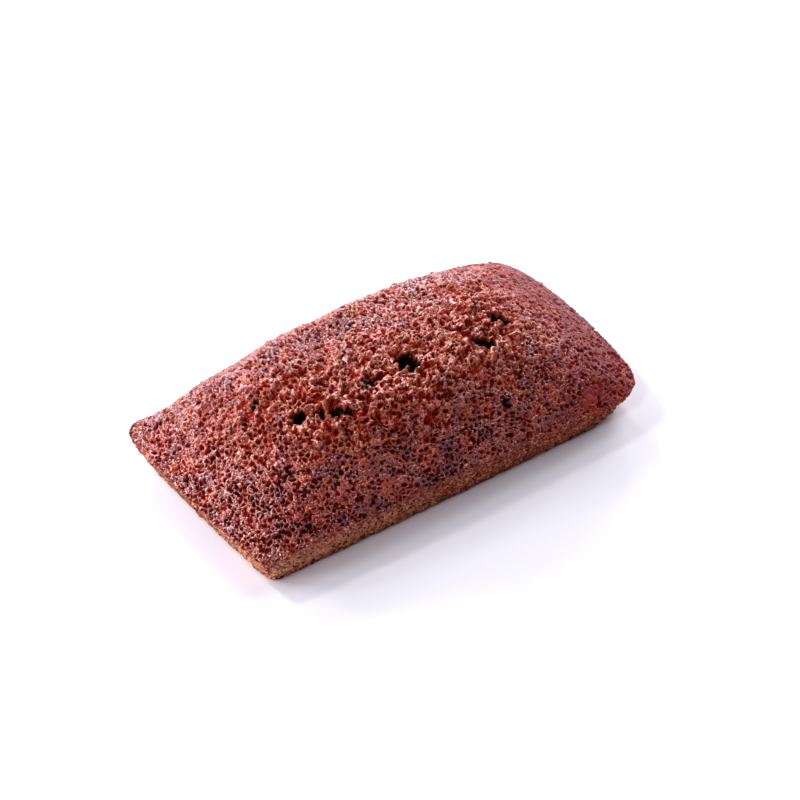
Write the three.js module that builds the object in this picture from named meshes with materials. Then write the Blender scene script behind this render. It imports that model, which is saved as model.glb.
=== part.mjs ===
// Chocolate financier: a small oblong almond cake baked in a shallow mould.
// One solid: a flat base, walls that flare out to the rim where the mould ended,
// and a crust that rose well above the rim while it baked.
// Units are millimetres, +Z up. The base rests on z = 0 with the cake's box centred on the origin.

import * as THREE from 'three';

// Driving dimensions
const RIM_LENGTH = 83.2;        // end to end at the rim, before the ends belly out
const RIM_WIDTH = 45;           // side to side at the rim
const RIM_HEIGHT = 6.8;         // depth of batter that the mould held
const BASE_INSET_LENGTH = 2.95; // how far each end draws in from rim to base
const BASE_INSET_WIDTH = 2.4;   // how far each long side draws in from rim to base
const BASE_EDGE = 0.6;          // rounding between wall and base
const DOME_HEIGHT = 13.4;       // rise of the crust above the rim

// Radius of the rim at each corner: the batter filled some corners of the mould better than others
const RIM_CORNER = { leftNear: 1.65, leftFar: 3.9, rightNear: 6.4, rightFar: 6.2 };
const BASE_ROUNDER = 1.35;      // the base's corners are this much rounder than the rim's

// The crust's highest point, and how full each shoulder is: 2 is a parabola, more is squarer
const CREST = { s: -0.09, t: -0.06 };
const SHOULDER = { left: 2.25, right: 2.9, near: 2.5, far: 5.2 };

// How far the middle of each side bellies out
const BELLY = { left: 0.45, right: 1.35, near: 0.3, far: 0 };

// The rim is not level: the lift at the middle of each side and at each corner
const SIDE_LIFT = { left: -0.65, right: 1.15, near: 0.95, far: -0.25 };
const CORNER_LIFT = { leftNear: 0.1, leftFar: -0.15, rightNear: -1.1, rightFar: 0.85 };

// The far right corner rose less full than the others
const SLACK_CORNER = { x: -1.4, y: -1 };

// The seam where the crust split as it rose: a shallow trough along the crest's near side
const SEAM_Y = -6.5;
const SEAM_BEND = 0.008;        // 1/mm, the seam curves back towards both ends
const SEAM_LENGTH = 27;         // half its length
const SEAM_WIDTH = 2.2;
const SEAM_DEPTH = 0.45;

// Gentle lumps in the crust
const LUMP_HEIGHT = 0.08;
const LUMP_SIZE = 11;
const LUMP_WAVES = 6;

// Fineness of the facets
const CORNER_STEPS = 9;
const LENGTH_STEPS = 22;
const WIDTH_STEPS = 11;
const CRUST_RINGS = 28;
const RING_CROWDING = 1.45;     // above 1 the rings crowd together at the steep rim

const CRUMB = new THREE.MeshStandardMaterial({ color: 0x5a3324, roughness: 0.62, metalness: 0 });

const pick = (value, below, above) => (value < 0 ? below : above);

// A rectangle with its corners rounded, each by its own radius, as a closed ring of points.
// It starts at the right near corner, runs to the left, and has the same count whatever its size.
function ring(halfLength, halfWidth, roundness) {
  const corners = [
    { x: 1, y: -1, radius: RIM_CORNER.rightNear, steps: WIDTH_STEPS },
    { x: 1, y: 1, radius: RIM_CORNER.rightFar, steps: LENGTH_STEPS },
    { x: -1, y: 1, radius: RIM_CORNER.leftFar, steps: WIDTH_STEPS },
    { x: -1, y: -1, radius: RIM_CORNER.leftNear, steps: LENGTH_STEPS },
  ];
  const arcs = corners.map(({ x, y, radius }, index) => {
    const bend = radius * roundness;
    const centre = new THREE.Vector2(x * (halfLength - bend), y * (halfWidth - bend));
    const points = [];
    for (let step = 0; step <= CORNER_STEPS; step += 1) {
      const angle = (index - 1 + step / CORNER_STEPS) * Math.PI / 2;
      points.push(new THREE.Vector2(Math.cos(angle), Math.sin(angle)).multiplyScalar(bend).add(centre));
    }
    return points;
  });
  return arcs.flatMap((arc, index) => {
    const from = arc[CORNER_STEPS];
    const to = arcs[(index + 1) % arcs.length][0];
    const { steps } = corners[index];
    const side = [];
    for (let step = 1; step < steps; step += 1) side.push(from.clone().lerp(to, step / steps));
    return [...arc, ...side];
  });
}

// Place across the cake as fractions of its half length and half width, -1 to 1
function fractions(point) {
  return {
    s: THREE.MathUtils.clamp(point.x / (RIM_LENGTH / 2), -1, 1),
    t: THREE.MathUtils.clamp(point.y / (RIM_WIDTH / 2), -1, 1),
  };
}

// The outline as baked: bellied sides and one slack corner
function settle(point) {
  const { s, t } = fractions(point);
  const slack = Math.max(s, 0) ** 2 * Math.max(t, 0) ** 2;
  const endBelly = pick(s, BELLY.left, BELLY.right) * Math.abs(s) ** 3 * (1 - t * t);
  const sideBelly = pick(t, BELLY.near, BELLY.far) * Math.abs(t) ** 3 * (1 - s * s);
  return new THREE.Vector2(
    point.x + Math.sign(s) * endBelly + SLACK_CORNER.x * slack,
    point.y + Math.sign(t) * sideBelly + SLACK_CORNER.y * slack,
  );
}

// Height of the uneven rim, carried on under the crust
function rimHeight({ s, t }) {
  const corners = CORNER_LIFT.leftNear * (1 - s) * (1 - t) + CORNER_LIFT.leftFar * (1 - s) * (1 + t)
    + CORNER_LIFT.rightNear * (1 + s) * (1 - t) + CORNER_LIFT.rightFar * (1 + s) * (1 + t);
  const sides = pick(t, SIDE_LIFT.near, SIDE_LIFT.far) * t ** 4 * (1 - s * s);
  const ends = pick(s, SIDE_LIFT.left, SIDE_LIFT.right) * s ** 4 * (1 - t * t);
  return RIM_HEIGHT + corners / 4 + sides + ends;
}

// How high the crust has risen above the rim, from 0 at the rim to 1 at the crest
function rise({ s, t }) {
  const along = (s - CREST.s) / (1 - CREST.s * pick(s - CREST.s, -1, 1));
  const across = (t - CREST.t) / (1 - CREST.t * pick(t - CREST.t, -1, 1));
  const lengthwise = 1 - Math.abs(along) ** pick(along, SHOULDER.left, SHOULDER.right);
  const crosswise = 1 - Math.abs(across) ** pick(across, SHOULDER.near, SHOULDER.far);
  return Math.max(lengthwise, 0) * Math.max(crosswise, 0);
}

// The split seam's depth at a point
function seam({ x, y }) {
  const off = (y - SEAM_Y - SEAM_BEND * x * x) / SEAM_WIDTH;
  const fade = THREE.MathUtils.smoothstep(SEAM_LENGTH - Math.abs(x), 0, SEAM_LENGTH / 4);
  return SEAM_DEPTH * Math.exp(-off * off) * fade;
}

// Lumps: waves that run in directions a golden angle apart, so they never line up
function lumps({ x, y }) {
  let sum = 0;
  for (let wave = 0; wave < LUMP_WAVES; wave += 1) {
    const angle = wave * 2.39996;
    const length = LUMP_SIZE * (1 + 0.35 * Math.cos(wave * 1.7));
    const along = x * Math.cos(angle) + y * Math.sin(angle);
    sum += Math.sin(2 * Math.PI * along / length + wave * 1.3);
  }
  return LUMP_HEIGHT * sum;
}

// Every ring of the cake from the base's middle, up the walls and over the crust to its centre
function cakeRings() {
  const rim = ring(RIM_LENGTH / 2, RIM_WIDTH / 2, 1);
  const base = ring(RIM_LENGTH / 2 - BASE_INSET_LENGTH, RIM_WIDTH / 2 - BASE_INSET_WIDTH, BASE_ROUNDER);
  const rings = [];
  const between = (amount) => base.map((point, index) => point.clone().lerp(rim[index], amount));

  // Rounded edge of the base: each step goes out and up a quarter circle
  for (const turn of [0, 1 / 3, 2 / 3]) {
    const angle = turn * Math.PI / 2;
    const inward = BASE_EDGE * (1 - Math.sin(angle));
    rings.push(base.map((point) => {
      const pulled = point.clone().setLength(point.length() - inward);
      const { x, y } = settle(pulled);
      return [x, y, BASE_EDGE * (1 - Math.cos(angle))];
    }));
  }
  // The flared wall, up to the rim
  for (const amount of [BASE_EDGE / RIM_HEIGHT, 0.4, 0.7, 1]) {
    rings.push(between(amount).map((point, index) => {
      const { x, y } = settle(point);
      return [x, y, amount * rimHeight(fractions(rim[index]))];
    }));
  }
  // The crust
  for (let step = 1; step < CRUST_RINGS; step += 1) {
    const size = 1 - (step / CRUST_RINGS) ** RING_CROWDING;
    rings.push(rim.map((point) => crustPoint(point.clone().multiplyScalar(size))));
  }
  return rings;
}

// A point of the crust above a place in the outline
function crustPoint(point) {
  const place = fractions(point);
  const risen = rise(place);
  const { x, y } = settle(point);
  const relief = Math.min(1, 3 * risen) * (lumps(point) - seam(point));
  return [x, y, rimHeight(place) + DOME_HEIGHT * risen + relief];
}

// The rings joined into one closed skin, with a fan at each end
function cakeGeometry() {
  const rings = cakeRings();
  const count = rings[0].length;
  const positions = [0, 0, 0, ...rings.flat(2), ...crustPoint(new THREE.Vector2(0, 0))];
  const last = positions.length / 3 - 1;
  const at = (row, column) => 1 + row * count + (column % count);
  const faces = [];
  for (let column = 0; column < count; column += 1) {
    faces.push(0, at(0, column + 1), at(0, column));
    for (let row = 0; row < rings.length - 1; row += 1) {
      faces.push(at(row, column), at(row, column + 1), at(row + 1, column + 1));
      faces.push(at(row, column), at(row + 1, column + 1), at(row + 1, column));
    }
    faces.push(at(rings.length - 1, column), at(rings.length - 1, column + 1), last);
  }
  const geometry = new THREE.BufferGeometry();
  geometry.setAttribute('position', new THREE.Float32BufferAttribute(positions, 3));
  geometry.setIndex(faces);
  geometry.computeBoundingBox();
  const middle = geometry.boundingBox.getCenter(new THREE.Vector3());
  geometry.translate(-middle.x, -middle.y, 0);
  geometry.computeVertexNormals();
  return geometry;
}

const cake = new THREE.Mesh(cakeGeometry(), CRUMB);
cake.name = 'cake';

const group = new THREE.Group();
group.add(cake);

export default group;
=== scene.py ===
"""A chocolate financier on a white table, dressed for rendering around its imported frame."""

import math

import bmesh
import bpy
from mathutils import Matrix, Vector


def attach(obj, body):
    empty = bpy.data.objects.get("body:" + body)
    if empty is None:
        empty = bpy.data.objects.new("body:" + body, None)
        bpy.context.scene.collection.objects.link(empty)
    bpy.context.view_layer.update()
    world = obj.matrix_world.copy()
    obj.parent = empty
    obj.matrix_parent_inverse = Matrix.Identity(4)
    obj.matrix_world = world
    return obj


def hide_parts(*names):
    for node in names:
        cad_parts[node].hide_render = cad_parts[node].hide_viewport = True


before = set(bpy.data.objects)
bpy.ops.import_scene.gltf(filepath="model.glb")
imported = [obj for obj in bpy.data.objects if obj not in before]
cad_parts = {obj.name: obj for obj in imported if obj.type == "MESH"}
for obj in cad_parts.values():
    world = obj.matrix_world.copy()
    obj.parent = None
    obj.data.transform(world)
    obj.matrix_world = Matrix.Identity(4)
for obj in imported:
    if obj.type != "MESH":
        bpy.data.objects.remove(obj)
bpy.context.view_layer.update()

# ---------------------------------------------------------------------------------------------
# Moulded crumb
# The straight side and flat base of an oblong almond sponge. The batter set against the greased
# wall of its mould, which left a paler, dull, finely granular surface with a ragged lower edge.
# ---------------------------------------------------------------------------------------------

MM = 0.001                 # a millimetre, in metres
VOXEL = 0.135 * MM         # fineness of the whole surface
SAME_POINT = 0.002 * MM    # corners of the solid that are closer than this are one
NORMAL_BLUR = 6            # how many neighbours away the outward direction is evened out
CRUMB_TRIANGLES = 195000   # most that the side and base keep, once their flat stretches are thinned

# The side's relief, in millimetres
SIDE_SIZES = {
    "Grain size": 0.6, "Grain height": 0.34,
    "Fine grain size": 0.36, "Fine grain height": 0.2,
    "Lump size": 1.3, "Lump height": 1.0,
    "Pore spacing": 0.65, "Pore radius": 0.3, "Seed": 3.0,
}
SIDE_INSET = 0.58          # the relief is set in this far, so that no grain stands past the solid
SIDE_STRAY = 0.6           # how far grains and pores are pulled out of round
SIDE_STRAY_SIZE = 0.7      # over what length

# The side gives way to the crust between these heights, in millimetres
RIM = {"From Min": 5.0, "From Max": 7.5}
RIM_WANDER = 1.6           # how far the line between them strays, and over what length
RIM_LEAN = 1.5             # how much higher a level face counts there than an upright one

# How much of its relief the side has at each place
SIDE_ENDS = {"From Min": 0.9, "From Max": 0.4}                  # by the share of crust
FRAYED_FOOT = {"From Max": 2.0, "To Min": 1.9, "To Max": 1.0}   # by height, in millimetres
FLAT_BASE = {"From Min": -0.995, "From Max": -0.93}             # by slope, where -1 faces down
LEVEL_FOOT = {"From Min": 0.3, "From Max": 1.0}                 # up and down only, by height

# A grain's dome, by the square of the way out from its middle as a share of its size
GRAIN_DOME = {"From Max": 0.7, "To Min": 1.0, "To Max": 0.0}

# The radii of scattered bubbles, as shares of the one that is asked for
SPHERE_RADII = {"To Min": 0.5, "To Max": 1.15}


def add(tree, kind, links=(), out=None, **settings):
    """Adds a node, sets its properties, links or fills its inputs, and gives one output."""
    node = tree.nodes.new(kind)
    for name, value in settings.items():
        setattr(node, name, value)
    for name, value in links.items() if isinstance(links, dict) else enumerate(links):
        if isinstance(value, bpy.types.NodeSocket):
            tree.links.new(value, node.inputs[name])
        else:
            node.inputs[name].default_value = value
    if out is None:
        return next(socket for socket in node.outputs if socket.enabled)
    return node.outputs[out]


def linear(hex_colour):
    """An sRGB hex colour as linear red, green, blue and alpha."""
    parts = [int(hex_colour[i:i + 2], 16) / 255 for i in (1, 3, 5)]
    return [p / 12.92 if p <= 0.04045 else ((p + 0.055) / 1.055) ** 2.4 for p in parts] + [1.0]


def named_tree(name, sizes):
    """A geometry tree with a geometry in and out, a material and named sizes, and its inputs."""
    tree = bpy.data.node_groups.new(name, "GeometryNodeTree")
    tree.interface.new_socket("Geometry", in_out="INPUT", socket_type="NodeSocketGeometry")
    tree.interface.new_socket("Material", in_out="INPUT", socket_type="NodeSocketMaterial")
    for size, value in sizes.items():
        kind = "NodeSocketInt" if isinstance(value, int) else "NodeSocketFloat"
        tree.interface.new_socket(size, in_out="INPUT", socket_type=kind).default_value = value
    tree.interface.new_socket("Geometry", in_out="OUTPUT", socket_type="NodeSocketGeometry")
    return tree, tree.nodes.new("NodeGroupInput").outputs


def finish_tree(tree, geometry, material):
    """Ends a geometry tree with real, painted, smooth geometry."""
    real = add(tree, "GeometryNodeRealizeInstances", [geometry])
    painted = add(tree, "GeometryNodeSetMaterial", {"Geometry": real, "Material": material})
    smooth = add(tree, "GeometryNodeSetShadeSmooth", {"Geometry": painted})
    tree.links.new(smooth, tree.nodes.new("NodeGroupOutput").inputs[0])


def plain_mesh(made, name):
    """The evaluated object as a plain mesh object with no modifiers, in place of the given one."""
    evaluated = made.evaluated_get(bpy.context.evaluated_depsgraph_get())
    mesh = bpy.data.meshes.new_from_object(evaluated)
    bpy.data.objects.remove(made)
    result = bpy.data.objects.new(name, mesh)
    bpy.context.collection.objects.link(result)
    return result


def grown(made, tree, values, name):
    """A new plain mesh object: the given one run through a geometry tree."""
    result = bpy.data.objects.new(name, made.data)
    bpy.context.collection.objects.link(result)
    modifier = result.modifiers.new("grow", "NODES")
    modifier.node_group = tree
    for item in tree.interface.items_tree:
        if item.name in values and item.in_out == "INPUT":
            modifier[item.identifier] = values[item.name]
    return plain_mesh(result, name)


def fine_skin(node_name):
    """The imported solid's surface as a fine, even mesh of its own."""
    mesh = bpy.data.meshes.new("skin")
    work = bmesh.new()
    work.from_mesh(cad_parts[node_name].data)
    bmesh.ops.remove_doubles(work, verts=work.verts, dist=SAME_POINT)
    work.to_mesh(mesh)
    work.free()
    mesh.materials.clear()
    skin = bpy.data.objects.new("skin", mesh)
    bpy.context.collection.objects.link(skin)
    even = skin.modifiers.new("even", "REMESH")
    even.mode = "VOXEL"
    even.voxel_size = VOXEL
    return plain_mesh(skin, "fine_skin")


def in_millimetres(tree):
    """The place of each point in millimetres."""
    spot = add(tree, "GeometryNodeInputPosition")
    return add(tree, "ShaderNodeVectorMath", {0: spot, "Scale": 1 / MM}, operation="SCALE")


def outwards(tree):
    """The direction straight out of the cake at each point, evened out over its neighbours."""
    normal = add(tree, "GeometryNodeInputNormal")
    normal = add(tree, "GeometryNodeBlurAttribute", {"Value": normal, "Iterations": NORMAL_BLUR},
                 data_type="FLOAT_VECTOR")
    return add(tree, "ShaderNodeVectorMath", [normal], operation="NORMALIZE")


def moved(tree, geometry, direction, rise):
    """The geometry with each point moved along a direction by a height in millimetres."""
    offset = add(tree, "ShaderNodeMath", [rise, MM], operation="MULTIPLY")
    offset = add(tree, "ShaderNodeVectorMath", {0: direction, "Scale": offset}, operation="SCALE")
    return add(tree, "GeometryNodeSetPosition", {"Geometry": geometry, "Offset": offset})


def grains(tree, place, size, height):
    """Rounded grains packed side by side, as a height in millimetres."""
    scale = add(tree, "ShaderNodeMath", [1.0, size], operation="DIVIDE")
    far = add(tree, "ShaderNodeTexVoronoi", {"Vector": place, "Scale": scale}, "Distance")
    square = add(tree, "ShaderNodeMath", [far, far], operation="MULTIPLY")
    dome = add(tree, "ShaderNodeMapRange", {"Value": square, **GRAIN_DOME})
    return add(tree, "ShaderNodeMath", [dome, height], operation="MULTIPLY")


def lumps(tree, place, size, height):
    """Soft unevenness above and below the surface, as a height in millimetres."""
    scale = add(tree, "ShaderNodeMath", [1.0, size], operation="DIVIDE")
    rise = add(tree, "ShaderNodeTexNoise", {"Vector": place, "Scale": scale, "Detail": 2.0})
    rise = add(tree, "ShaderNodeMath", [rise, 0.5], operation="SUBTRACT")
    return add(tree, "ShaderNodeMath", [rise, height], operation="MULTIPLY")


def cut_spheres(tree, place, outward, spacing, radius):
    """How deep the surface falls into bubbles scattered through the batter, in millimetres."""
    scale = add(tree, "ShaderNodeMath", [1.0, spacing], operation="DIVIDE")
    cells = add(tree, "ShaderNodeTexVoronoi",
                {"Vector": place, "Scale": scale, "Randomness": 0.85}).node.outputs
    luck = add(tree, "FunctionNodeSeparateColor", [cells["Color"]])
    size = add(tree, "ShaderNodeMapRange", {"Value": luck, **SPHERE_RADII})
    size = add(tree, "ShaderNodeMath", [size, radius], operation="MULTIPLY")
    square = add(tree, "ShaderNodeMath", [size, size], operation="MULTIPLY")

    # Straight in from the point, the bubble's wall lies half a chord past the level of its middle
    reach = add(tree, "ShaderNodeVectorMath", [cells["Position"], place], operation="SUBTRACT")
    lift = add(tree, "ShaderNodeVectorMath", [reach, outward], "Value", operation="DOT_PRODUCT")
    far = add(tree, "ShaderNodeVectorMath", [reach, reach], "Value", operation="DOT_PRODUCT")
    half_chord = add(tree, "ShaderNodeMath", [lift, lift, square], operation="MULTIPLY_ADD")
    half_chord = add(tree, "ShaderNodeMath", [half_chord, far], operation="SUBTRACT")
    half_chord = add(tree, "ShaderNodeMath", [half_chord, 0.0], operation="MAXIMUM")
    half_chord = add(tree, "ShaderNodeMath", [half_chord], operation="SQRT")
    depth = add(tree, "ShaderNodeMath", [half_chord, lift], operation="SUBTRACT")
    inside = add(tree, "ShaderNodeMath", [far, square], operation="LESS_THAN")
    depth = add(tree, "ShaderNodeMath", [depth, inside], operation="MULTIPLY")
    return add(tree, "ShaderNodeMath", [depth, 0.0], operation="MAXIMUM")


def side_tree():
    """Geometry nodes for the grain and pores of the moulded side, and where it ends at the crust."""
    tree, given = named_tree("Moulded side", SIDE_SIZES)
    place = in_millimetres(tree)
    height = add(tree, "ShaderNodeSeparateXYZ", [place], "Z")
    outward = outwards(tree)
    out_x, out_y, slope = add(tree, "ShaderNodeSeparateXYZ", [outward]).node.outputs

    # The crust begins above the rim, along a wandering line
    wander = add(tree, "ShaderNodeTexNoise",
                 {"Vector": place, "Scale": 1 / RIM_WANDER, "Detail": 3.0})
    wander = add(tree, "ShaderNodeMapRange",
                 {"Value": wander, "To Min": -RIM_WANDER, "To Max": RIM_WANDER})
    rim = add(tree, "ShaderNodeMath", [slope, RIM_LEAN, height], operation="MULTIPLY_ADD")
    rim = add(tree, "ShaderNodeMath", [rim, wander], operation="ADD")
    crust = add(tree, "ShaderNodeMapRange", {"Value": rim, **RIM})

    # Grain, lumps and pores
    stray = add(tree, "ShaderNodeTexNoise",
                {"Vector": place, "Scale": 1 / SIDE_STRAY_SIZE, "Detail": 2.0}, "Color")
    ragged = add(tree, "ShaderNodeVectorMath", [stray, [SIDE_STRAY] * 3, place],
                 operation="MULTIPLY_ADD")
    seed = add(tree, "ShaderNodeCombineXYZ", {"X": given["Seed"], "Y": given["Seed"]})
    ragged = add(tree, "ShaderNodeVectorMath", [ragged, seed], operation="ADD")
    rise = grains(tree, ragged, given["Grain size"], given["Grain height"])
    fine = grains(tree, ragged, given["Fine grain size"], given["Fine grain height"])
    uneven = lumps(tree, place, given["Lump size"], given["Lump height"])
    pores = cut_spheres(tree, ragged, outward, given["Pore spacing"], given["Pore radius"])
    for form in (fine, uneven):
        rise = add(tree, "ShaderNodeMath", [rise, form], operation="ADD")
    for depth in (pores, SIDE_INSET):
        rise = add(tree, "ShaderNodeMath", [rise, depth], operation="SUBTRACT")

    # More of it at the frayed foot, none on the crust, and none on the base, which lies flat
    frayed = add(tree, "ShaderNodeMapRange", {"Value": height, **FRAYED_FOOT})
    on_side = add(tree, "ShaderNodeMapRange", {"Value": crust, **SIDE_ENDS})
    off_base = add(tree, "ShaderNodeMapRange", {"Value": slope, **FLAT_BASE})
    for share in (frayed, on_side, off_base):
        rise = add(tree, "ShaderNodeMath", [rise, share], operation="MULTIPLY")
    level = add(tree, "ShaderNodeMapRange", {"Value": height, **LEVEL_FOOT})
    upward = add(tree, "ShaderNodeMath", [slope, level], operation="MULTIPLY")
    direction = add(tree, "ShaderNodeCombineXYZ", [out_x, out_y, upward])

    geometry = given["Geometry"]
    for name, value in {"crust": crust, "pit": pores}.items():
        geometry = add(tree, "GeometryNodeStoreNamedAttribute",
                       {"Geometry": geometry, "Name": name, "Value": value})
    finish_tree(tree, moved(tree, geometry, direction, rise), given["Material"])
    return tree


# The parts that the skin is cut into. Each right part's number follows its left one's.
CRUMB, CREST, FRONT_LEFT, FRONT_RIGHT, BACK_LEFT, BACK_RIGHT = range(6)
CRUST_FROM = 0.4           # share of crust above which a face is cut off the moulded crumb
CREST_FROM = 0.5           # share of open crumb above which it belongs to the crest
BACK_FROM = -0.5 * MM      # how far back the back parts begin
HEART = (0, 0, 5 * MM)     # the point that every cut through the cake runs towards
HEART_SIZE = 0.02 * MM     # the ends of a cut that meet there, this near to each other, become one


def cut_tree():
    """Geometry nodes that keep one part of the cake and wall up its cut with a fan to the heart.

    The walls' ends gather round the heart. Not all of them meet, so a part isn't quite sealed.
    """
    tree, given = named_tree("Cut to the heart", {"Part": CRUMB})
    spot = add(tree, "GeometryNodeInputPosition")
    x, y = add(tree, "ShaderNodeSeparateXYZ", [spot]).node.outputs[:2]
    crust = add(tree, "GeometryNodeInputNamedAttribute", {"Name": "crust"})
    crest = add(tree, "GeometryNodeInputNamedAttribute", {"Name": "crest"})
    on_right, behind, on_crest, on_crust = (
        add(tree, "FunctionNodeCompare", [value, limit], data_type="FLOAT",
            operation="GREATER_THAN")
        for value, limit in ((x, 0.0), (y, BACK_FROM), (crest, CREST_FROM), (crust, CRUST_FROM)))
    part = add(tree, "GeometryNodeSwitch",
               {"Switch": behind, "False": FRONT_LEFT, "True": BACK_LEFT}, input_type="INT")
    part = add(tree, "ShaderNodeMath", [part, on_right], operation="ADD")
    part = add(tree, "GeometryNodeSwitch", {"Switch": on_crest, "False": part, "True": CREST},
               input_type="INT")
    part = add(tree, "GeometryNodeSwitch", {"Switch": on_crust, "False": CRUMB, "True": part},
               input_type="INT")
    wanted = add(tree, "FunctionNodeCompare", {2: part, 3: given["Part"]},
                 data_type="INT", operation="EQUAL")
    piece = add(tree, "GeometryNodeSeparateGeometry",
                {"Geometry": given["Geometry"], "Selection": wanted}, domain="FACE")

    # The cut's edges stay sharp, and its walls run straight towards the heart
    neighbours = add(tree, "GeometryNodeInputMeshEdgeNeighbors")
    open_edge = add(tree, "FunctionNodeCompare", {2: neighbours, 3: 1},
                    data_type="INT", operation="EQUAL")
    piece = add(tree, "GeometryNodeStoreNamedAttribute",
                {"Geometry": piece, "Name": "sharp_edge", "Value": open_edge},
                data_type="BOOLEAN", domain="EDGE")
    inward = add(tree, "ShaderNodeVectorMath", [HEART, spot], operation="SUBTRACT")
    closing = add(tree, "GeometryNodeExtrudeMesh",
                  {"Mesh": piece, "Selection": open_edge, "Offset": inward}, mode="EDGES")
    closed = add(tree, "GeometryNodeMergeByDistance",
                 {"Geometry": closing, "Selection": closing.node.outputs["Top"],
                  "Distance": HEART_SIZE})
    finish_tree(tree, closed, given["Material"])
    return tree


# Colours of the moulded side
DEEP_BROWN, WARM_BROWN = "#A03C26", "#CA663C"
# The golden grain colour is partly real crumb and partly painted glints
# The pores' dark colour is painted shade
GOLDEN_GRAIN_AND_GLINT, DARK_GRAIN, PAINTED_PORE_SHADE = "#F4B08A", "#50140C", "#3A0E06"
# The dark back colour is painted shade, darker towards the back, which the lamps behind light
# straight on
# The pale end colour is painted light, paler towards the left end
PAINTED_LIGHT_LEFT, PAINTED_SHADE_BACK = "#FFB286", "#7A2E1C"
CRUST_BELOW = "#8C2E26"    # specks of crust that run down over the side

# Sizes of its patterns, in millimetres
GRAIN_SPECKS, TONES, CRUST_SPECKS = 0.6, 3.5, 1.1

# Where each colour begins and is full, in its pattern's noise
WARM_TONES = {"From Min": 0.35, "From Max": 0.65}
# Golden grains are partly painted glints
GOLDEN_GRAINS_AND_GLINTS = {"From Min": 0.51, "From Max": 0.62, "To Max": 0.75}
DARK_GRAINS = {"From Min": 0.48, "From Max": 0.38}

# And by place: paler along the cake towards its left end, as painted light, darker across it towards
# the back, as painted shade, and by the share of crust, because the back's painted shade keeps to the
# side
PAINTED_LIGHT_TOWARDS_LEFT = {"From Min": 0, "From Max": -42 * MM, "To Max": 0.75}
PAINTED_SHADE_TOWARDS_BACK = {"From Min": -18 * MM, "From Max": -4 * MM, "To Max": 0.6}
BELOW_CRUST = {"From Min": 0.5, "From Max": 0.1}

# And for the specks of crust, by the share of crust plus the noise times its weight
CRUST_NOISE_WEIGHT = 3.2
CRUST_RUNS_DOWN = {"From Min": 1.5, "From Max": 2.5}

# Painted shade in the pores, darker with a pore's depth
PORE_SHADE_BY_DEPTH = {"From Min": 0.05, "From Max": 0.3}   # by a pore's depth, in millimetres


def side_colour(tree, place):
    """Baked brown crumb with golden grains, partly painted glints, and dark grains between, as a
    colour. It has painted light, paler towards the left end, and painted shade, darker towards the
    back.
    """
    x, y = add(tree, "ShaderNodeSeparateXYZ", [place]).node.outputs[:2]
    crust = add(tree, "ShaderNodeAttribute", out="Fac", attribute_name="crust")
    specks, tones, stray = (
        add(tree, "ShaderNodeTexNoise", {"Vector": place, "Scale": 1 / (size * MM), "Detail": detail})
        for size, detail in ((GRAIN_SPECKS, 3.0), (TONES, 2.0), (CRUST_SPECKS, 3.0)))
    warm = add(tree, "ShaderNodeMapRange", {"Value": tones, **WARM_TONES})
    # Golden grains, partly painted glints
    golden_and_glint = add(tree, "ShaderNodeMapRange", {"Value": specks, **GOLDEN_GRAINS_AND_GLINTS})
    # Painted light: the side paler towards the left end
    lit_left = add(tree, "ShaderNodeMapRange", {"Value": x, **PAINTED_LIGHT_TOWARDS_LEFT})
    # Painted shade: the side darker towards the back, kept below the crust
    behind = add(tree, "ShaderNodeMapRange", {"Value": y, **PAINTED_SHADE_TOWARDS_BACK})
    below = add(tree, "ShaderNodeMapRange", {"Value": crust, **BELOW_CRUST})
    behind = add(tree, "ShaderNodeMath", [behind, below], operation="MULTIPLY")
    dark = add(tree, "ShaderNodeMapRange", {"Value": specks, **DARK_GRAINS})
    baked = add(tree, "ShaderNodeMath", [stray, CRUST_NOISE_WEIGHT, crust],
                operation="MULTIPLY_ADD")
    baked = add(tree, "ShaderNodeMapRange", {"Value": baked, **CRUST_RUNS_DOWN})
    colour = linear(DEEP_BROWN)
    for share, tint in ((warm, WARM_BROWN), (golden_and_glint, GOLDEN_GRAIN_AND_GLINT), (lit_left, PAINTED_LIGHT_LEFT),
                        (behind, PAINTED_SHADE_BACK), (dark, DARK_GRAIN), (baked, CRUST_BELOW)):
        colour = add(tree, "ShaderNodeMix", {0: share, 6: colour, 7: linear(tint)},
                     data_type="RGBA")
    return colour


CRUMB_IOR = 1.16   # solid crumb has about 1.45, but so open a surface shows far less sheen

# Oily grains catch the light with small flat faces. Real ones are finer, too fine to show, so they
# are drawn as coarse as this: their breadth in millimetres, and how steeply they lean.
FACET, FACET_TILT = 0.27, 1.4


def glossy(tree, colour, place, roughness, bump_strength):
    """Puts a colour on the shader, with the fine grit that makes a damp surface sparkle."""
    shader = tree.nodes["Principled BSDF"]
    tree.links.new(colour, shader.inputs["Base Color"])
    shader.inputs["Roughness"].default_value = roughness
    shader.inputs["IOR"].default_value = CRUMB_IOR
    facets = add(tree, "ShaderNodeTexVoronoi",
                 {"Vector": place, "Scale": 1 / (FACET * MM)}).node.outputs
    across = add(tree, "ShaderNodeVectorMath", [place, facets["Position"]], operation="SUBTRACT")
    tilt = add(tree, "ShaderNodeVectorMath", [facets["Color"], (0.5, 0.5, 0.5)],
               operation="SUBTRACT")
    height = add(tree, "ShaderNodeVectorMath", [across, tilt], "Value", operation="DOT_PRODUCT")
    bump = add(tree, "ShaderNodeBump",
               {"Height": height, "Strength": bump_strength, "Distance": FACET_TILT})
    tree.links.new(bump, shader.inputs["Normal"])
    return shader


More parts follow.
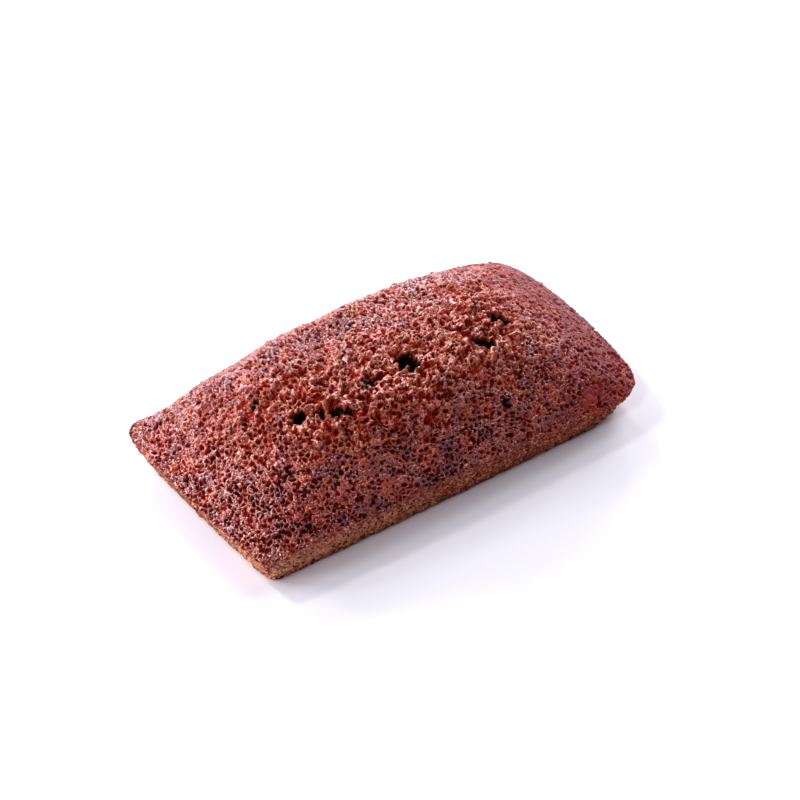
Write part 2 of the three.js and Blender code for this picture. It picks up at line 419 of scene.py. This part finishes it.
def side_material():
    """Almond sponge that set against the greased mould.

    It has no film of butter, so it looks dry and dull, and only a few oily grains sparkle.
    """
    material = bpy.data.materials.new("moulded_sponge")
    material.use_nodes = True
    tree = material.node_tree
    place = add(tree, "ShaderNodeTexCoord", out="Object")
    # The pores are painted darker with depth, as shade
    pit = add(tree, "ShaderNodeAttribute", out="Fac", attribute_name="pit")
    sunk = add(tree, "ShaderNodeMapRange", {"Value": pit, **PORE_SHADE_BY_DEPTH})
    colour = add(tree, "ShaderNodeMix",
                 {0: sunk, 6: side_colour(tree, place), 7: linear(PAINTED_PORE_SHADE)}, data_type="RGBA")
    glossy(tree, colour, place, roughness=0.3, bump_strength=1.0)
    return material


def dressed(part):
    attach(part, "root")
    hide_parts("cake")


moulded_sponge = side_material()
smooth_skin = fine_skin("cake")
skin = grown(smooth_skin, side_tree(), {"Material": moulded_sponge}, "skin")
bpy.data.objects.remove(smooth_skin)
cut = cut_tree()
full_crumb = grown(skin, cut, {"Part": CRUMB, "Material": moulded_sponge}, "full_crumb")
thin = full_crumb.modifiers.new("thin", "DECIMATE")
full_crumb.data.calc_loop_triangles()
thin.ratio = min(1.0, CRUMB_TRIANGLES / len(full_crumb.data.loop_triangles))
crumb = plain_mesh(full_crumb, "crumb")
dressed(crumb)

# ---------------------------------------------------------------------------------------------
# Crust
# The domed top above the rim. The batter rose, set as a thin buttery skin full of burst bubbles,
# and split along the crest into coarse crumb. Its crest and four quarters are five meshes.
# ---------------------------------------------------------------------------------------------

# The crust's relief, in millimetres
CRUST_SIZES = {
    "Wide bubble spacing": 1.2, "Wide bubble radius": 0.48,
    "Bubble spacing": 0.92, "Web width": 0.18, "Bubble depth": 2.1,
    "Pore spacing": 0.6, "Pore web width": 0.15, "Pore depth": 0.6,
    "Clump size": 1.5, "Clump height": 1.0,
    "Grain size": 0.95, "Grain height": 0.5,
    "Fine grain size": 0.42, "Fine grain height": 0.28,
    "Blister spacing": 1.5, "Blister radius": 0.6, "Blister height": 0.4,
    "Gap size": 1.5, "Gap depth": 0.8,
    "Lump size": 3.0, "Lump height": 1.3,
    "Raggedness": 0.5, "Seed": 3.0,
}
CRUST_STRAY_SIZE = 0.9     # over what length bubbles and grains are pulled out of round

# The open crumb lies near a seam that bends back towards both ends, in millimetres
SEAM_Y, SEAM_BEND = -5.5, 0.008
NEAR_SEAM = {"From Min": 14.0, "From Max": 5.0}
SHORT_OF_ENDS = {"From Min": 36.0, "From Max": 22.0}
BORDER_SIZE, BORDER_STRAY = 7.0, 5.0   # over what length the zones' borders wander, and how far

# Towards the right end, in millimetres, the surface closes and its film of butter thins out
CLOSED_RIGHT = {"From Min": 32.0, "From Max": 16.0, "To Min": 0.3, "To Max": 1.0}
DRY_RIGHT = {"From Min": 34.0, "From Max": 16.0, "To Min": 0.1, "To Max": 1.0}

# The back begins here, in millimetres. Its bubbles are shallower, its film is thinner, and it has
# more blisters.
BACK_ZONE = {"From Min": -2.0, "From Max": 8.0}
SHALLOW_BACK = {"To Min": 1.0, "To Max": 0.35}
THIN_BACK = {"To Min": 1.0, "To Max": 0.78}
BLISTERED_BACK = {"To Min": 0.1, "To Max": 0.8}

# The open crumb has coarser grain and shallower bubbles than the rest
COARSE_CREST = {"To Min": 0.3, "To Max": 1.0}
SHALLOW_CREST = {"To Min": 1.0, "To Max": 0.33}


def crust_zones(tree, place):
    """How much of each kind of crust lies at each point, as shares from 0 to 1."""
    x, y = add(tree, "ShaderNodeSeparateXYZ", [place]).node.outputs[:2]
    spread = add(tree, "ShaderNodeTexNoise",
                 {"Vector": place, "Scale": 1 / BORDER_SIZE, "Detail": 1.0})
    spread = add(tree, "ShaderNodeMapRange",
                 {"Value": spread, "To Min": -BORDER_STRAY, "To Max": BORDER_STRAY})
    square = add(tree, "ShaderNodeMath", [x, 2.0], operation="POWER")
    seam_y = add(tree, "ShaderNodeMath", [square, SEAM_BEND, SEAM_Y], operation="MULTIPLY_ADD")
    off_seam = add(tree, "ShaderNodeMath", [y, seam_y], operation="SUBTRACT")
    off_seam = add(tree, "ShaderNodeMath", [off_seam], operation="ABSOLUTE")
    off_middle = add(tree, "ShaderNodeMath", [x], operation="ABSOLUTE")
    off_seam, off_middle, rightward, backward = (
        add(tree, "ShaderNodeMath", [way, spread], operation="ADD")
        for way in (off_seam, off_middle, x, y))

    near_seam = add(tree, "ShaderNodeMapRange", {"Value": off_seam, **NEAR_SEAM})
    along = add(tree, "ShaderNodeMapRange", {"Value": off_middle, **SHORT_OF_ENDS})
    crest = add(tree, "ShaderNodeMath", [near_seam, along], operation="MULTIPLY")
    openness = add(tree, "ShaderNodeMapRange", {"Value": rightward, **CLOSED_RIGHT})
    coarse = add(tree, "ShaderNodeMapRange", {"Value": crest, **COARSE_CREST})
    coarse = add(tree, "ShaderNodeMath", [coarse, openness], operation="MULTIPLY")

    backward = add(tree, "ShaderNodeMapRange", {"Value": backward, **BACK_ZONE})
    foamy = add(tree, "ShaderNodeMapRange", {"Value": backward, **SHALLOW_BACK})
    off_crest = add(tree, "ShaderNodeMapRange", {"Value": crest, **SHALLOW_CREST})
    for share in (off_crest, openness):
        foamy = add(tree, "ShaderNodeMath", [foamy, share], operation="MULTIPLY")
    film = add(tree, "ShaderNodeMapRange", {"Value": rightward, **DRY_RIGHT})
    thinner = add(tree, "ShaderNodeMapRange", {"Value": backward, **THIN_BACK})
    film = add(tree, "ShaderNodeMath", [film, thinner], operation="MULTIPLY")
    blistered = add(tree, "ShaderNodeMapRange", {"Value": backward, **BLISTERED_BACK})
    return {"crest": crest, "open": openness, "coarse": coarse, "foamy": foamy, "film": film,
            "blistered": blistered}


BOWL_EDGE = 0.18       # breadth of a bubble's sloping edge, in millimetres
WEB_PATCHES = 2.0      # the length over which webs grow thick and thin, in millimetres
WEB_WIDTHS = {"From Min": 0.42, "From Max": 0.62, "To Min": 0.45, "To Max": 1.25}
BUBBLE_DEPTHS = {"To Min": 0.1, "To Max": 1.3}   # as shares of the one asked for


def foam(tree, place, spacing, web, depth):
    """Burst bubbles side by side with a thin web between them, as a depth in millimetres."""
    scale = add(tree, "ShaderNodeMath", [1.0, spacing], operation="DIVIDE")
    wall = add(tree, "ShaderNodeTexVoronoi", {"Vector": place, "Scale": scale}, "Distance",
               feature="DISTANCE_TO_EDGE")
    wall = add(tree, "ShaderNodeMath", [wall, spacing], operation="MULTIPLY")
    thick = add(tree, "ShaderNodeTexNoise",
                {"Vector": place, "Scale": 1 / WEB_PATCHES, "Detail": 2.0})
    thick = add(tree, "ShaderNodeMapRange", {"Value": thick, **WEB_WIDTHS})
    thick = add(tree, "ShaderNodeMath", [thick, web], operation="MULTIPLY")
    wall = add(tree, "ShaderNodeMath", [wall, thick], operation="SUBTRACT")
    bowl = add(tree, "ShaderNodeMapRange", {"Value": wall, "From Max": BOWL_EDGE},
               interpolation_type="SMOOTHSTEP")
    luck = add(tree, "ShaderNodeTexVoronoi", {"Vector": place, "Scale": scale}, "Color")
    luck = add(tree, "FunctionNodeSeparateColor", [luck])
    luck = add(tree, "ShaderNodeMapRange", {"Value": luck, **BUBBLE_DEPTHS})
    luck = add(tree, "ShaderNodeMath", [luck, depth], operation="MULTIPLY")
    return add(tree, "ShaderNodeMath", [bowl, luck], operation="MULTIPLY")


SHALLOW_PATCHES = 2.2  # the length over which shallow bubbles come and go, in millimetres
SHALLOWNESS = {"From Min": 0.35, "From Max": 0.6, "To Min": 0.5, "To Max": 1.15}
GAPS = {"From Min": 0.52, "From Max": 0.7}       # where the noise opens a gap between the clumps


def hollows(tree, place, outward, given, zone):
    """Burst bubbles, and ragged gaps between the clumps of crumb, as a depth in millimetres."""
    wide = cut_spheres(tree, place, outward, given["Wide bubble spacing"],
                       given["Wide bubble radius"])
    bubbles = foam(tree, place, given["Bubble spacing"], given["Web width"], given["Bubble depth"])
    pores = foam(tree, place, given["Pore spacing"], given["Pore web width"], given["Pore depth"])
    pits = add(tree, "ShaderNodeMath", [bubbles, pores], operation="MAXIMUM")
    shallow = add(tree, "ShaderNodeTexNoise",
                  {"Vector": place, "Scale": 1 / SHALLOW_PATCHES, "Detail": 1.0})
    shallow = add(tree, "ShaderNodeMapRange", {"Value": shallow, **SHALLOWNESS})
    for share in (shallow, zone["foamy"]):
        pits = add(tree, "ShaderNodeMath", [pits, share], operation="MULTIPLY")
    gaps = add(tree, "ShaderNodeMath", [1.0, given["Gap size"]], operation="DIVIDE")
    gaps = add(tree, "ShaderNodeTexNoise", {"Vector": place, "Scale": gaps, "Detail": 2.0})
    gaps = add(tree, "ShaderNodeMapRange", {"Value": gaps, **GAPS})
    for share in (given["Gap depth"], zone["crest"]):
        gaps = add(tree, "ShaderNodeMath", [gaps, share], operation="MULTIPLY")
    for depth in (wide, gaps):
        pits = add(tree, "ShaderNodeMath", [pits, depth], operation="MAXIMUM")
    return pits


# Holes where the crust tore open: x, y, half length, half width and depth in millimetres, and turn
# in degrees
TEARS = (
    (1.1, -3.7, 2.0, 2.3, 7.0, 30),
    (-21.9, -3.7, 1.4, 1.2, 5.0, 0),
    (-17.3, -6.5, 3.6, 0.95, 2.6, -31),
    (-24.9, 4.6, 1.0, 0.7, 2.4, 20),
    (15.8, -6.8, 1.75, 1.15, 6.0, -36),
    (22.3, -2.5, 2.4, 1.4, 6.0, -36),
    (-7.6, -4.6, 1.3, 0.8, 2.2, 10),
    (13.1, -17.2, 0.9, 0.7, 1.5, 0),
)
TEAR_WALL = {"From Min": 1.1, "From Max": 0.85}   # where a hole's wall falls, as shares of its size
TEAR_STRAY = (3.6, 3.6, 0)                        # how far its outline strays, in millimetres
TEAR_STRAY_SIZE = 1.2                             # over what length
ANY_HEIGHT = 1e6                                  # a hole's outline is the same at every height


def tears(tree, place):
    """Torn holes with ragged walls, as a depth in millimetres."""
    stray = add(tree, "ShaderNodeTexNoise",
                {"Vector": place, "Scale": 1 / TEAR_STRAY_SIZE, "Detail": 3.0}, "Color")
    stray = add(tree, "ShaderNodeVectorMath", [stray, (0.5, 0.5, 0.5)], operation="SUBTRACT")
    stray = add(tree, "ShaderNodeVectorMath", [stray, TEAR_STRAY], operation="MULTIPLY")
    ragged = add(tree, "ShaderNodeVectorMath", [place, stray], operation="ADD")
    torn = 0.0
    for x, y, half_length, half_width, depth, turn in TEARS:
        local = add(tree, "ShaderNodeVectorRotate",
                    {"Vector": ragged, "Center": (x, y, 0), "Angle": math.radians(-turn)},
                    rotation_type="Z_AXIS")
        local = add(tree, "ShaderNodeVectorMath", [local, (x, y, 0)], operation="SUBTRACT")
        local = add(tree, "ShaderNodeVectorMath", [local, (half_length, half_width, ANY_HEIGHT)],
                    operation="DIVIDE")
        far = add(tree, "ShaderNodeVectorMath", [local], "Value", operation="LENGTH")
        hole = add(tree, "ShaderNodeMapRange", {"Value": far, **TEAR_WALL, "To Max": depth})
        torn = add(tree, "ShaderNodeMath", [hole, torn], operation="MAXIMUM")
    return torn


BLISTER_RADII = {"From Min": 0.2, "To Min": 0.05, "To Max": 1.0}   # as shares of the one asked for


def blisters(tree, place, spacing, radius, height):
    """Round bubbles that set before they burst, scattered about, as a height in millimetres."""
    scale = add(tree, "ShaderNodeMath", [1.0, spacing], operation="DIVIDE")
    cells = add(tree, "ShaderNodeTexVoronoi",
                {"Vector": place, "Scale": scale, "Randomness": 0.9}).node.outputs
    luck = add(tree, "FunctionNodeSeparateColor", [cells["Color"]])
    size = add(tree, "ShaderNodeMapRange", {"Value": luck, **BLISTER_RADII})
    size = add(tree, "ShaderNodeMath", [size, radius], operation="MULTIPLY")
    far = add(tree, "ShaderNodeMath", [cells["Distance"], spacing], operation="MULTIPLY")
    far = add(tree, "ShaderNodeMath", [far, size], operation="DIVIDE")
    far = add(tree, "ShaderNodeMath", [far, far], operation="MULTIPLY")
    dome = add(tree, "ShaderNodeMapRange", {"Value": far, "To Min": 1.0, "To Max": 0.0})
    dome = add(tree, "ShaderNodeMath", [dome], operation="SQRT")
    return add(tree, "ShaderNodeMath", [dome, height], operation="MULTIPLY")


# How far the crust's relief is set in, in millimetres, so that it stays inside the solid: near the
# top, just above the rim, and less where the surface is closed
BELOW_TOP = {"From Min": 18.8, "From Max": 20.4, "To Min": 0.0, "To Max": -1.6}
ABOVE_RIM = {"From Min": 8.0, "From Max": 10.0, "To Min": -0.6, "To Max": -0.3}
FULL_WHERE_CLOSED = {"From Min": 1.0, "From Max": 0.3, "To Max": 0.35}
CRUST_BEGINS = {"From Min": 0.4, "From Max": 0.7}   # the share of crust that brings its relief in
RIDGE_BLUR = 10                                     # how many neighbours away a ridge is measured


def crust_tree():
    """Geometry nodes that roughen the crust with burst bubbles, grain and torn holes."""
    tree, given = named_tree("Burst bubbles", CRUST_SIZES)
    place = in_millimetres(tree)
    height = add(tree, "ShaderNodeSeparateXYZ", [place], "Z")
    outward = outwards(tree)
    zone = crust_zones(tree, place)

    # Bubbles and grains are pulled out of round together
    stray = add(tree, "ShaderNodeTexNoise",
                {"Vector": place, "Scale": 1 / CRUST_STRAY_SIZE, "Detail": 2.0}, "Color")
    stray = add(tree, "ShaderNodeVectorMath", [stray, (0.5, 0.5, 0.5)], operation="SUBTRACT")
    stray = add(tree, "ShaderNodeVectorMath", {0: stray, "Scale": given["Raggedness"]},
                operation="SCALE")
    ragged = add(tree, "ShaderNodeVectorMath", [place, stray], operation="ADD")
    seed = add(tree, "ShaderNodeCombineXYZ", {"X": given["Seed"], "Y": given["Seed"]})
    seeded = add(tree, "ShaderNodeVectorMath", [ragged, seed], operation="ADD")
    pits = hollows(tree, seeded, outward, given, zone)
    torn = tears(tree, place)
    sunk = add(tree, "ShaderNodeMath", [pits, torn], operation="MAXIMUM")

    # Grain that stands up between the bubbles, each kind in its own zone
    clumps = grains(tree, ragged, given["Clump size"], given["Clump height"])
    coarse = grains(tree, ragged, given["Grain size"], given["Grain height"])
    fine = grains(tree, ragged, given["Fine grain size"], given["Fine grain height"])
    blister = blisters(tree, seeded, given["Blister spacing"], given["Blister radius"],
                       given["Blister height"])
    uneven = lumps(tree, place, given["Lump size"], given["Lump height"])
    clumps, coarse, fine, blister, uneven = (
        add(tree, "ShaderNodeMath", [form, zone[kind]], operation="MULTIPLY")
        for form, kind in ((clumps, "crest"), (coarse, "coarse"), (fine, "open"),
                           (blister, "blistered"), (uneven, "coarse")))
    rise = clumps
    for form in (coarse, fine, blister, uneven):
        rise = add(tree, "ShaderNodeMath", [rise, form], operation="ADD")
    rise = add(tree, "ShaderNodeMath", [rise, sunk], operation="SUBTRACT")
    for value, inset in ((height, BELOW_TOP), (height, ABOVE_RIM),
                         (zone["open"], FULL_WHERE_CLOSED)):
        inset = add(tree, "ShaderNodeMapRange", {"Value": value, **inset})
        rise = add(tree, "ShaderNodeMath", [rise, inset], operation="ADD")
    crust = add(tree, "GeometryNodeInputNamedAttribute", {"Name": "crust"})
    on_crust = add(tree, "ShaderNodeMapRange", {"Value": crust, **CRUST_BEGINS})
    rise = add(tree, "ShaderNodeMath", [rise, on_crust], operation="MULTIPLY")

    geometry = given["Geometry"]
    for name, value in {"pit": pits, "torn": torn, "blister": blister, "crest": zone["crest"],
                        "film": zone["film"]}.items():
        geometry = add(tree, "GeometryNodeStoreNamedAttribute",
                       {"Geometry": geometry, "Name": name, "Value": value})
    geometry = add(tree, "GeometryNodeStoreNamedAttribute",
                   {"Geometry": geometry, "Name": "outward", "Value": outward},
                   data_type="FLOAT_VECTOR")
    geometry = moved(tree, geometry, outward, rise)

    # How far each point stands above its neighbourhood, in millimetres
    spot = add(tree, "GeometryNodeInputPosition")
    around = add(tree, "GeometryNodeBlurAttribute", {"Value": spot, "Iterations": RIDGE_BLUR},
                 data_type="FLOAT_VECTOR")
    away = add(tree, "ShaderNodeVectorMath", [spot, around], operation="SUBTRACT")
    ridge = add(tree, "GeometryNodeInputNamedAttribute", {"Name": "outward"},
                data_type="FLOAT_VECTOR")
    ridge = add(tree, "ShaderNodeVectorMath", [away, ridge], "Value", operation="DOT_PRODUCT")
    ridge = add(tree, "ShaderNodeMath", [ridge, 1 / MM], operation="MULTIPLY")
    geometry = add(tree, "GeometryNodeStoreNamedAttribute",
                   {"Geometry": geometry, "Name": "ridge", "Value": ridge})
    finish_tree(tree, geometry, given["Material"])
    return tree


# Colours of the crust
COOL_WEB, WARM_WEB, CLOSED_WEB, CREST_WEB = "#80262A", "#B0402E", "#7C2828", "#AC442A"
MAUVE_TINT, ORANGE_TINT = "#7E3444", "#C0561E"
OPEN_CRUMB, BLISTER, DARK_FLECK = "#B8522E", "#C4502C", "#4A100C"
# The hollows' colours are painted shade, their red a painted glow of light scattered in the crumb
# The torn holes' near black is painted shade
PAINTED_HOLLOW_SHADE, PAINTED_HOLLOW_GLOW, PAINTED_TORN_SHADE = "#580400", "#981A04", "#1A0402"

# Sizes of its patterns, in millimetres
MOTTLING, TINTS, CRUMB_PATCHES, FLECKS = 4.0, 1.8, 2.2, 0.35

# Where each colour begins and is full, in its pattern's noise
MOTTLED = {"From Min": 0.38, "From Max": 0.62}
TINTED_MAUVE = {"From Min": 0.45, "From Max": 0.32, "To Max": 0.6}
TINTED_ORANGE = {"From Min": 0.54, "From Max": 0.66, "To Max": 0.8}
OPENED = {"From Min": 0.58, "From Max": 0.72}
MORE_OPENED_CREST = 0.12   # how much is added to the noise there
FLECKED = {"From Min": 0.5, "From Max": 0.3, "To Max": 0.6}

# And by the relief, in millimetres: the blisters' height, and the depths that bring in painted shade
# in pits, low places and torn holes
RAISED = {"From Min": 0.03, "From Max": 0.2}     # a blister's height
PIT_SHADE_BY_DEPTH = {"From Min": 0.08, "From Max": 0.4}       # a pit's depth
SHADE_BELOW_NEIGHBOURS = {"From Min": -0.02, "From Max": -0.14}     # how far below its neighbourhood
TORN_SHADE_BY_DEPTH = {"From Min": 0.1, "From Max": 0.9}        # a torn hole's depth

# And by the shares of crust and of film
ON_CRUST = {"From Min": 0.7}
ORANGE_UNDER_FILM = {"To Min": 0.25}
GRIT_UNDER_FILM = {"To Min": 0.3}

# The film lies neither in the pits, nor below its neighbourhood, nor on the side
OUT_OF_PITS = {"From Min": 0.3, "From Max": 0.03}
ON_RIDGES = {"From Min": -0.12, "From Max": -0.01}
OFF_THE_SIDE = {"From Min": 0.45, "From Max": 0.75}


def crust_material():
    """Baked chocolate sponge under a thin film of its own butter.

    The film puts glints on the mauve-brown webs between the bubbles. The hollows have none; they are
    painted deep red as shade, with a red glow painted for light scattered in the crumb, the torn
    holes are painted near black as shade, and the open crumb and the blisters are more orange.
    """
    material = bpy.data.materials.new("buttery_crust")
    material.use_nodes = True
    tree = material.node_tree
    place = add(tree, "ShaderNodeTexCoord", out="Object")
    crust, pit, torn, crest, ridge, film, blister = (
        add(tree, "ShaderNodeAttribute", out="Fac", attribute_name=name)
        for name in ("crust", "pit", "torn", "crest", "ridge", "film", "blister"))
    mottle, tint, crumbs, flecks = (
        add(tree, "ShaderNodeTexNoise", {"Vector": place, "Scale": 1 / (size * MM), "Detail": detail})
        for size, detail in ((MOTTLING, 4.0), (TINTS, 2.0), (CRUMB_PATCHES, 3.0), (FLECKS, 1.0)))

    # The webs between the bubbles
    mottle = add(tree, "ShaderNodeMapRange", {"Value": mottle, **MOTTLED})
    web = add(tree, "ShaderNodeMix", {0: mottle, 6: linear(COOL_WEB), 7: linear(WARM_WEB)},
              data_type="RGBA")
    web = add(tree, "ShaderNodeMix", {0: film, 6: linear(CLOSED_WEB), 7: web}, data_type="RGBA")
    cool = add(tree, "ShaderNodeMapRange", {"Value": tint, **TINTED_MAUVE})
    warm = add(tree, "ShaderNodeMapRange", {"Value": tint, **TINTED_ORANGE})
    filmed = add(tree, "ShaderNodeMapRange", {"Value": film, **ORANGE_UNDER_FILM})
    warm = add(tree, "ShaderNodeMath", [warm, filmed], operation="MULTIPLY")
    opened = add(tree, "ShaderNodeMath", [crest, MORE_OPENED_CREST, crumbs],
                 operation="MULTIPLY_ADD")
    opened = add(tree, "ShaderNodeMapRange", {"Value": opened, **OPENED})
    raised = add(tree, "ShaderNodeMapRange", {"Value": blister, **RAISED})
    flecked = add(tree, "ShaderNodeMapRange", {"Value": flecks, **FLECKED})
    for share, colour in ((crest, CREST_WEB), (cool, MAUVE_TINT), (warm, ORANGE_TINT),
                          (opened, OPEN_CRUMB), (raised, BLISTER), (flecked, DARK_FLECK)):
        web = add(tree, "ShaderNodeMix", {0: share, 6: web, 7: linear(colour)}, data_type="RGBA")

    # The hollows and the torn holes, painted dark as shade by their depth, and the moulded side below
    # the crust
    hollow_shade = add(tree, "ShaderNodeMix", {0: mottle, 6: linear(PAINTED_HOLLOW_SHADE), 7: linear(PAINTED_HOLLOW_GLOW)},
                 data_type="RGBA")
    # Painted shade: pits darken with depth, and so do places below their neighbourhood
    sunk = add(tree, "ShaderNodeMapRange", {"Value": pit, **PIT_SHADE_BY_DEPTH})
    low_shade = add(tree, "ShaderNodeMapRange", {"Value": ridge, **SHADE_BELOW_NEIGHBOURS})
    # Painted shade: torn holes go near black with depth
    torn_shade = add(tree, "ShaderNodeMapRange", {"Value": torn, **TORN_SHADE_BY_DEPTH})
    on_crust = add(tree, "ShaderNodeMapRange", {"Value": crust, **ON_CRUST})
    top = web
    for share, colour in ((sunk, hollow_shade), (low_shade, hollow_shade), (torn_shade, linear(PAINTED_TORN_SHADE))):
        top = add(tree, "ShaderNodeMix", {0: share, 6: top, 7: colour}, data_type="RGBA")
    top = add(tree, "ShaderNodeMix", {0: on_crust, 6: side_colour(tree, place), 7: top},
              data_type="RGBA")

    # The film of butter. Butter has an IOR of 1.46, and the crust's few glints ask for more.
    grit = add(tree, "ShaderNodeMapRange", {"Value": film, **GRIT_UNDER_FILM})
    shader = glossy(tree, top, place, roughness=0.35, bump_strength=grit)
    for value, limits in ((pit, OUT_OF_PITS), (ridge, ON_RIDGES), (crust, OFF_THE_SIDE)):
        share = add(tree, "ShaderNodeMapRange", {"Value": value, **limits})
        film = add(tree, "ShaderNodeMath", [film, share], operation="MULTIPLY")
    tree.links.new(film, shader.inputs["Coat Weight"])
    shader.inputs["Coat Roughness"].default_value = 0.1
    shader.inputs["Coat IOR"].default_value = 1.65
    return material


CRUST_PARTS = {
    "crest": CREST,
    "crust_front_left": FRONT_LEFT, "crust_front_right": FRONT_RIGHT,
    "crust_back_left": BACK_LEFT, "crust_back_right": BACK_RIGHT,
}

buttery_crust = crust_material()
risen = grown(skin, crust_tree(), {"Material": buttery_crust}, "risen")
for name, part in CRUST_PARTS.items():
    dressed(grown(risen, cut, {"Part": part, "Material": buttery_crust}, name))
bpy.data.objects.remove(risen)
bpy.data.objects.remove(skin)

# ---------------------------------------------------------------------------------------------
# Floor
# A seamless white table top under the cake. It is matt coated board, laid flat, and it runs on far
# out of sight on every side.
# ---------------------------------------------------------------------------------------------

FLOOR = 3.0   # half its breadth, in metres

floor_mesh = bpy.data.meshes.new("floor")
corners = [(x * FLOOR, y * FLOOR, 0) for x, y in ((-1, -1), (1, -1), (1, 1), (-1, 1))]
floor_mesh.from_pydata(corners, [], [(0, 1, 2, 3)])
floor = bpy.data.objects.new("floor", floor_mesh)
bpy.context.collection.objects.link(floor)

# Coated board is nearly white and matt, so the shadow lies soft on it and nothing mirrors in it
paper = bpy.data.materials.new("white_board")
paper.use_nodes = True
board = paper.node_tree.nodes["Principled BSDF"]
board.inputs["Base Color"].default_value = linear("#E9E9F0")
board.inputs["Roughness"].default_value = 0.9
floor_mesh.materials.append(paper)

# ---------------------------------------------------------------------------------------------
# Light
# Nine white panels stand low and close together behind the cake: they light its far slope and
# throw its shadow to the front. Six more hang higher at its sides, for the near slope's glints.
# ---------------------------------------------------------------------------------------------

studio = bpy.data.worlds.new("studio")
studio.use_nodes = True
sky = studio.node_tree.nodes["Background"]
sky.inputs["Color"].default_value = linear("#F0F0FF")
sky.inputs["Strength"].default_value = 0.07
bpy.context.scene.world = studio

PANEL_COLOUR = "#FBF9FF"
PANEL_DISTANCE = 0.75   # from the cake, in metres

# Each panel: turn from straight behind towards the left and height in degrees, width in metres,
# and watts
PANELS = (
    (-80, 18, 0.15, 1.3),
    (-60, 22, 0.15, 1.7),
    (-40, 17, 0.15, 2.2),
    (-20, 23, 0.15, 2.2),
    (0, 18, 0.15, 2.2),
    (20, 24, 0.15, 2.3),
    (40, 18, 0.15, 2.4),
    (60, 23, 0.15, 2.2),
    (80, 18, 0.15, 1.9),
    (40, 50, 0.1, 1.4),
    (120, 48, 0.1, 1.2),
    (-80, 50, 0.1, 0.45),
    (-90, 68, 0.25, 0.8),
    (-60, 60, 0.1, 0.4),
    (-120, 60, 0.1, 0.65),
)

for turn, height, width, watts in PANELS:
    lamp = bpy.data.lights.new("panel", "AREA")
    lamp.size = width
    lamp.energy = watts
    lamp.color = linear(PANEL_COLOUR)[:3]
    panel = bpy.data.objects.new("panel", lamp)
    turn, height = math.radians(turn), math.radians(height)
    aim = Vector((-math.sin(turn) * math.cos(height), math.cos(turn) * math.cos(height),
                  math.sin(height)))
    panel.location = aim * PANEL_DISTANCE
    panel.rotation_mode = "QUATERNION"
    panel.rotation_quaternion = aim.to_track_quat("Z", "Y")
    bpy.context.collection.objects.link(panel)

# ---------------------------------------------------------------------------------------------
# Camera
# A long lens on a stand, which looks down at the cake from its near left. The stand leans a little,
# so the horizon is tilted by under a degree.
# ---------------------------------------------------------------------------------------------

AZIMUTH, ELEVATION, ROLL = math.radians(-36.5), math.radians(41.1), math.radians(0.8)
AIM = Vector((-0.43, 0.16, 6.8)) * MM
DISTANCE = 794.4 * MM                          # from there
SHIFT_RIGHT, SHIFT_UP = 2.49 * MM, 1.07 * MM   # how far it is then slid, without turning
LENS, SENSOR_WIDTH = 202.5, 36   # in millimetres
NEAREST, FARTHEST = 0.01, 10     # what the camera sees, in metres

lens = bpy.data.cameras.new("camera")
lens.lens = LENS
lens.sensor_width = SENSOR_WIDTH
lens.clip_start, lens.clip_end = NEAREST, FARTHEST
camera = bpy.data.objects.new("camera", lens)
bpy.context.collection.objects.link(camera)
level = Vector((math.cos(AZIMUTH), math.sin(AZIMUTH), 0))
ahead = Vector((-math.sin(AZIMUTH), math.cos(AZIMUTH), 0))
back = Vector((0, 0, math.sin(ELEVATION))) - ahead * math.cos(ELEVATION)
upright = back.cross(level)
right = level * math.cos(ROLL) + upright * math.sin(ROLL)
up = upright * math.cos(ROLL) - level * math.sin(ROLL)
place = AIM + right * SHIFT_RIGHT + up * SHIFT_UP + back * DISTANCE
camera.matrix_world = Matrix.Translation(place) @ Matrix((right, up, back)).transposed().to_4x4()
bpy.context.scene.camera = camera
bpy.context.scene.view_settings.view_transform = "Standard"
